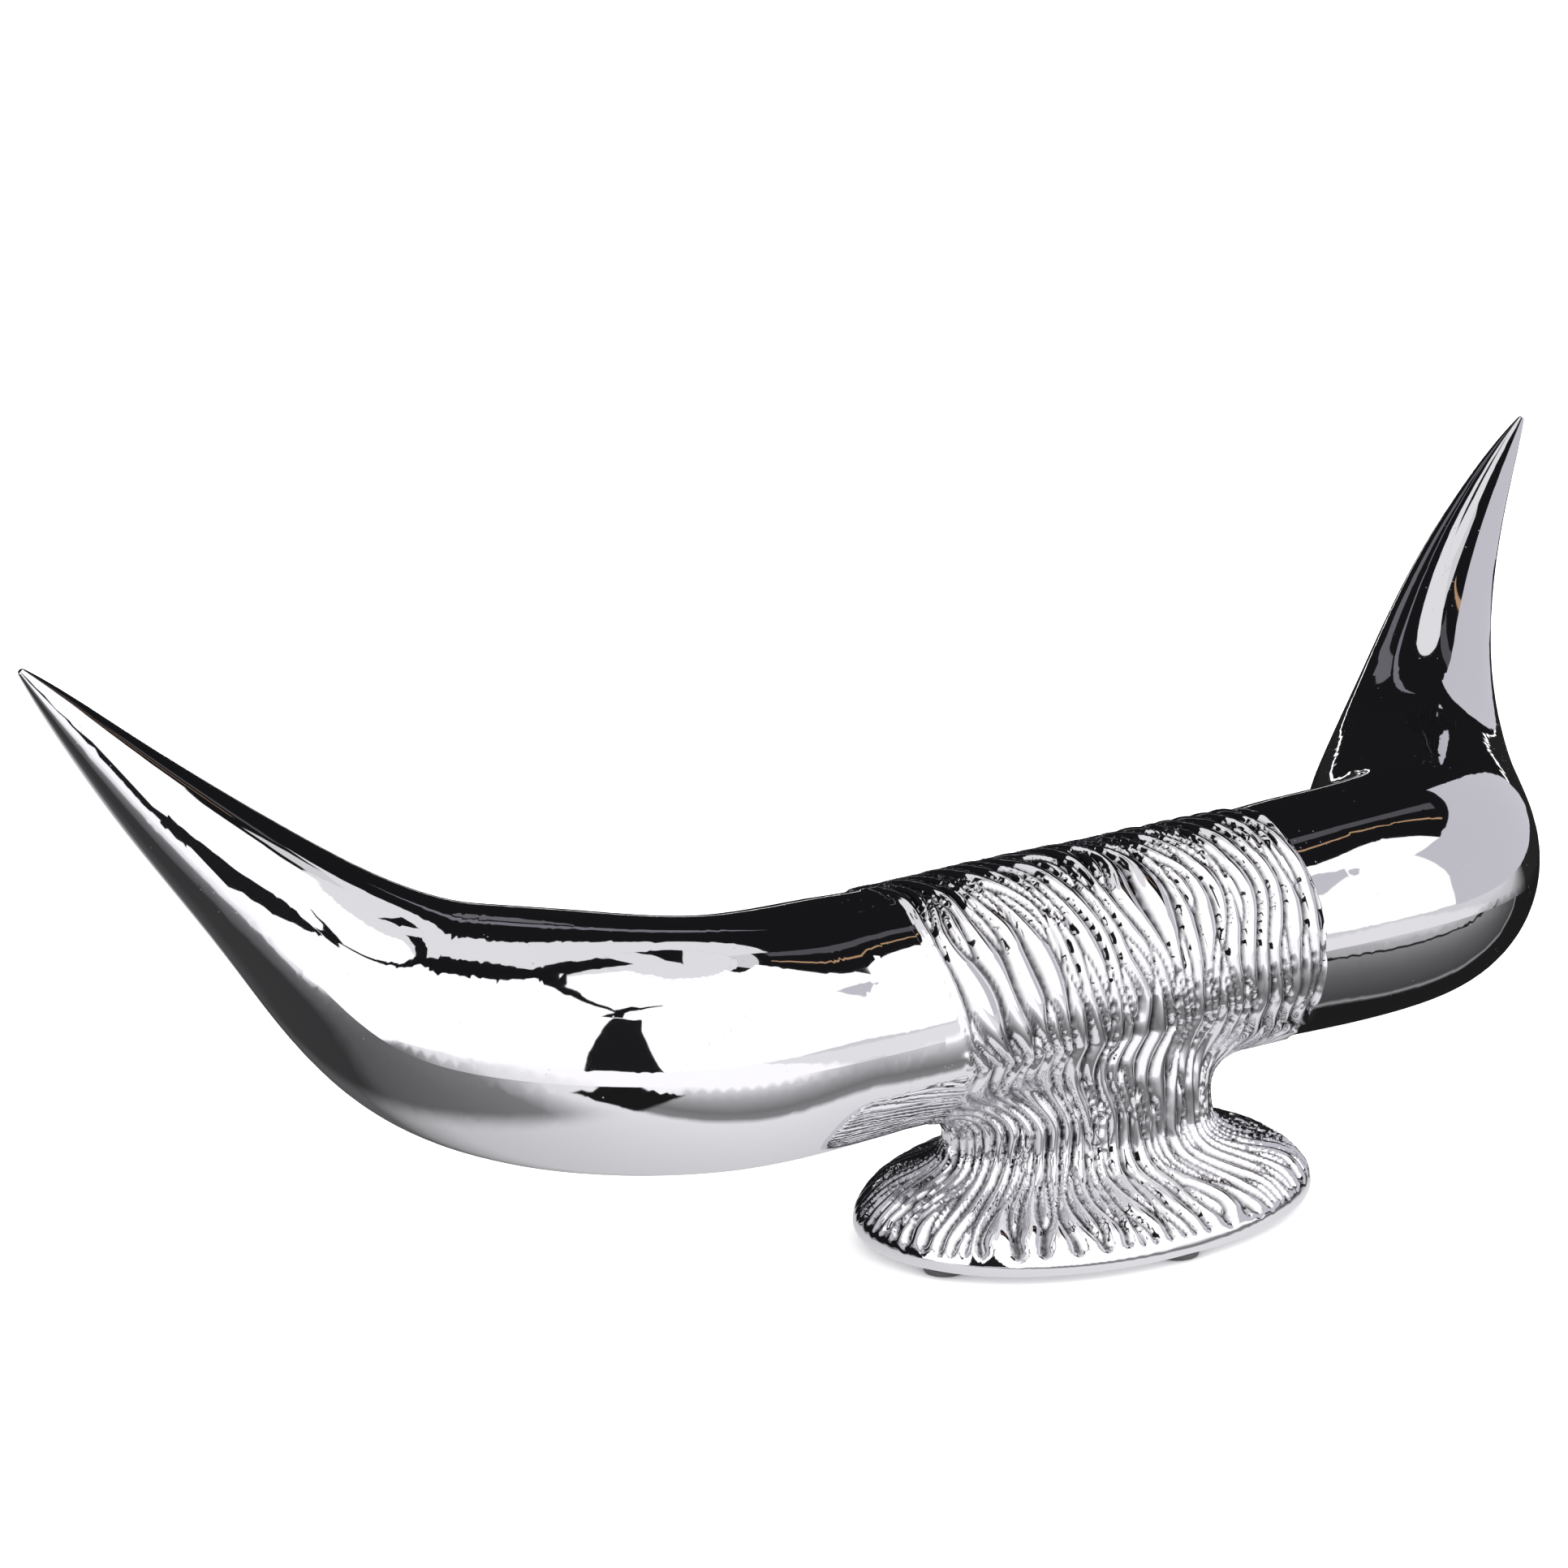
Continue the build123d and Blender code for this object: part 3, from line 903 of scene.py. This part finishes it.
@dataclass
class FurSaddle:
    """The saddle casting: sleeve, neck and oval foot, carved all over with locks of fur."""

    centre: Vector
    form: SaddleForm
    pattern: FurPattern
    voxel: float = 0.72
    spigot_radius: float = 27.6
    web_outer: float = 28.5
    web_inner: float = 22.5
    throat_semi: tuple[float, float] = (21.0, 21.0)
    plate_semi: tuple[float, float] = (51.8, 33.5)
    plate_recess: float = 3.3
    sliver: float = 0.00001

    def spot(self, x: float, y: float, z: float) -> Vector:
        """Place in the frame of a point in millimetres from the bar's middle."""
        return self.centre + Vector((x, y, z)) * MM

    def rod(self, radius: float, low: float, high: float) -> bpy.types.Object:
        """Cylinder along the bar between two distances from the middle."""
        bpy.ops.object.select_all(action="DESELECT")
        bpy.ops.mesh.primitive_cylinder_add(
            vertices=160,
            radius=radius * MM,
            depth=(high - low) * MM,
            location=self.spot((low + high) / 2, 0, 0),
            rotation=(0, math.pi / 2, 0),
        )
        bpy.ops.object.transform_apply(location=True, rotation=True, scale=True)
        return bpy.context.object

    def oval(self, semi: tuple[float, float], middle: float, low: float, high: float) -> bpy.types.Object:
        """Upright oval block."""
        bpy.ops.object.select_all(action="DESELECT")
        bpy.ops.mesh.primitive_cylinder_add(
            vertices=160, radius=MM, depth=(high - low) * MM, location=self.spot(0, middle, (low + high) / 2)
        )
        block = bpy.context.object
        block.scale = (semi[0], semi[1], 1.0)
        bpy.ops.object.transform_apply(location=True, rotation=True, scale=True)
        return block

    def end_block(self, side: int) -> bpy.types.Object:
        """Block that trims one end of the sleeve square."""
        half = self.form.sleeve_half_length
        low, high = sorted((side * half, side * (half + 6.0)))
        return self.rod(self.form.sleeve_radius + 4.0, low, high)

    def stand(self) -> bpy.types.Object:
        """Rim, flare and neck, drawn up level by level from the foot's outline."""
        form = self.form
        bpy.ops.object.select_all(action="DESELECT")
        bpy.ops.mesh.primitive_circle_add(
            vertices=160, radius=MM, fill_type="NGON", location=self.spot(0, form.foot_offset, form.bottom)
        )
        foot = bpy.context.object
        foot.scale = (form.foot_semi[0], form.foot_semi[1], 1.0)
        bpy.ops.object.transform_apply(location=True, rotation=True, scale=True)
        bpy.ops.object.mode_set(mode="EDIT")
        bpy.ops.mesh.select_all(action="SELECT")
        level, (wide, deep, middle) = form.bottom, (form.foot_semi[0], form.foot_semi[1], form.foot_offset)
        for height in (-58.0, -54.0, -51.0, -48.0, -45.0, -41.0, -34.0, -6.0):
            half_x, half_y, offset = (float(value) for value in form.section(np.float64(height)))
            rise = (0.0, (offset - middle) * MM, (height - level) * MM)
            bpy.ops.mesh.extrude_region_move(TRANSFORM_OT_translate={"value": rise})
            bpy.ops.transform.resize(
                value=(half_x / wide, half_y / deep, 1.0), center_override=self.spot(0, offset, height)
            )
            level, wide, deep, middle = height, half_x, half_y, offset
        bpy.ops.mesh.select_all(action="SELECT")
        bpy.ops.mesh.normals_make_consistent(inside=False)
        bpy.ops.object.mode_set(mode="OBJECT")
        return foot

    def rough(self) -> bpy.types.Object:
        """Sleeve and stand grown into one skin of even small faces."""
        half = self.form.sleeve_half_length + self.form.sleeve_spare
        sleeve = self.rod(self.form.sleeve_radius, -half, half)
        stand = self.stand()
        bpy.ops.object.select_all(action="DESELECT")
        sleeve.select_set(True)
        stand.select_set(True)
        bpy.context.view_layer.objects.active = sleeve
        bpy.ops.object.join()
        remesh = sleeve.modifiers.new("skin", "REMESH")
        remesh.mode = "VOXEL"
        remesh.voxel_size = self.voxel * MM
        bpy.ops.object.modifier_apply(modifier=remesh.name)
        return sleeve

    def soften(self, piece: bpy.types.Object) -> None:
        """Ease the carving's edges, as polishing does."""
        ease = piece.modifiers.new("polish", "SMOOTH")
        ease.factor = 0.5
        ease.iterations = 4
        bpy.ops.object.modifier_apply(modifier=ease.name)

    def carve(self, piece: bpy.types.Object) -> None:
        """Settle the skin on the smooth form and sink the fur's grooves into it."""
        mesh = piece.data
        flat = np.empty(len(mesh.vertices) * 3)
        mesh.vertices.foreach_get("co", flat)
        places = (flat.reshape(-1, 3) - np.array(self.centre)) / MM
        places, outward = self.form.settle(places)
        depth, groove = self.pattern.relief(places)
        carved = places - outward * depth[:, None]
        under = places[:, 2] < self.form.bottom + 0.2
        carved[under] = places[under]
        mesh.vertices.foreach_set("co", (carved * MM + np.array(self.centre)).ravel())
        mesh.attributes.new("groove", "FLOAT", "POINT").data.foreach_set("value", groove)
        mesh.update()

    def cut(self, piece: bpy.types.Object, tool: bpy.types.Object) -> None:
        """Take a block away from the casting."""
        bpy.ops.object.select_all(action="DESELECT")
        piece.select_set(True)
        bpy.context.view_layer.objects.active = piece
        away = piece.modifiers.new("cut", "BOOLEAN")
        away.operation = "DIFFERENCE"
        away.solver = "MANIFOLD"
        away.object = tool
        bpy.ops.object.modifier_apply(modifier=away.name)
        bpy.data.objects.remove(tool)

    def clear_slivers(self, piece: bpy.types.Object) -> bpy.types.Object:
        """Merge the hair-thin faces that the cuts leave, and drop loose shards.

        Args:
            piece: The casting after its cuts.

        Returns:
            The casting alone.
        """
        bpy.ops.object.select_all(action="DESELECT")
        piece.select_set(True)
        bpy.context.view_layer.objects.active = piece
        bpy.ops.object.mode_set(mode="EDIT")
        bpy.ops.mesh.select_all(action="SELECT")
        bpy.ops.mesh.remove_doubles(threshold=self.sliver)
        bpy.ops.mesh.dissolve_degenerate(threshold=self.sliver)
        bpy.ops.mesh.separate(type="LOOSE")
        bpy.ops.object.mode_set(mode="OBJECT")
        shards = sorted(bpy.context.selected_objects, key=lambda shard: len(shard.data.polygons))
        for shard in shards[:-1]:
            bpy.data.objects.remove(shard)
        return shards[-1]

    def build(self) -> bpy.types.Object:
        """Make, carve, bore and dress the saddle."""
        form = self.form
        piece = self.rough()
        self.carve(piece)
        self.soften(piece)
        far = form.sleeve_half_length + 3.0
        floor = form.bottom - 1.0
        self.cut(piece, self.end_block(1))
        self.cut(piece, self.end_block(-1))
        self.cut(piece, self.rod(self.spigot_radius, self.web_outer, far))
        self.cut(piece, self.rod(self.spigot_radius, -far, -self.web_outer))
        self.cut(piece, self.rod(self.spigot_radius, -self.web_inner, self.web_inner))
        self.cut(piece, self.oval(self.throat_semi, form.neck_offset, floor, 0.0))
        self.cut(piece, self.oval(self.plate_semi, form.foot_offset, floor, form.bottom + self.plate_recess))
        piece = self.clear_slivers(piece)
        piece.name = "fur_saddle"
        piece.data.name = "fur_saddle"
        bpy.ops.object.select_all(action="DESELECT")
        piece.select_set(True)
        bpy.context.view_layer.objects.active = piece
        bpy.ops.object.shade_smooth_by_angle(angle=math.radians(62.0))
        dress(piece, Finish.CARVED_CHROME)
        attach(piece, "root")
        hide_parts("saddle_stand")
        log.info("carved the saddle with %d faces", len(piece.data.polygons))
        return piece


# ---- the sculpture --------------------------------------------------------------------------


@dataclass
class Fittings:
    """The pieces that stay as the frame gives them, with their finishes."""

    finishes: dict[str, Finish]

    def build(self) -> None:
        """Dress each node."""
        for node, finish in self.finishes.items():
            dress(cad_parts[node], finish)
            log.info("dressed %s as %s", node, finish.name)


def bar_centre() -> Vector:
    """The middle of the bar's axis, read from the plugs that are centred on it."""
    low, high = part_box("left_horn_plug")
    return Vector((0.0, (low.y + high.y) / 2, (low.z + high.z) / 2))


def main() -> None:
    """Build the studio and the sculpture in order."""
    logging.basicConfig(level=logging.INFO)
    bpy.ops.object.select_all(action="DESELECT")
    Studio(bar_centre()).build()
    Fittings(
        {
            "left_horn": Finish.CHROME,
            "right_horn": Finish.CHROME,
            "left_horn_plug": Finish.ALUMINIUM,
            "right_horn_plug": Finish.ALUMINIUM,
            "horn_studs": Finish.ZINC,
            "locating_pins": Finish.ZINC,
            "flat_washers": Finish.ZINC,
            "spring_washers": Finish.ZINC,
            "stud_nuts": Finish.ZINC,
            "base_plate": Finish.POWDER_COAT,
            "plate_screws": Finish.ZINC,
            "bumpers": Finish.RUBBER,
        }
    ).build()
    form = SaddleForm()
    FurSaddle(bar_centre(), form, FurPattern(form)).build()


if __name__ == "__main__":
    main()
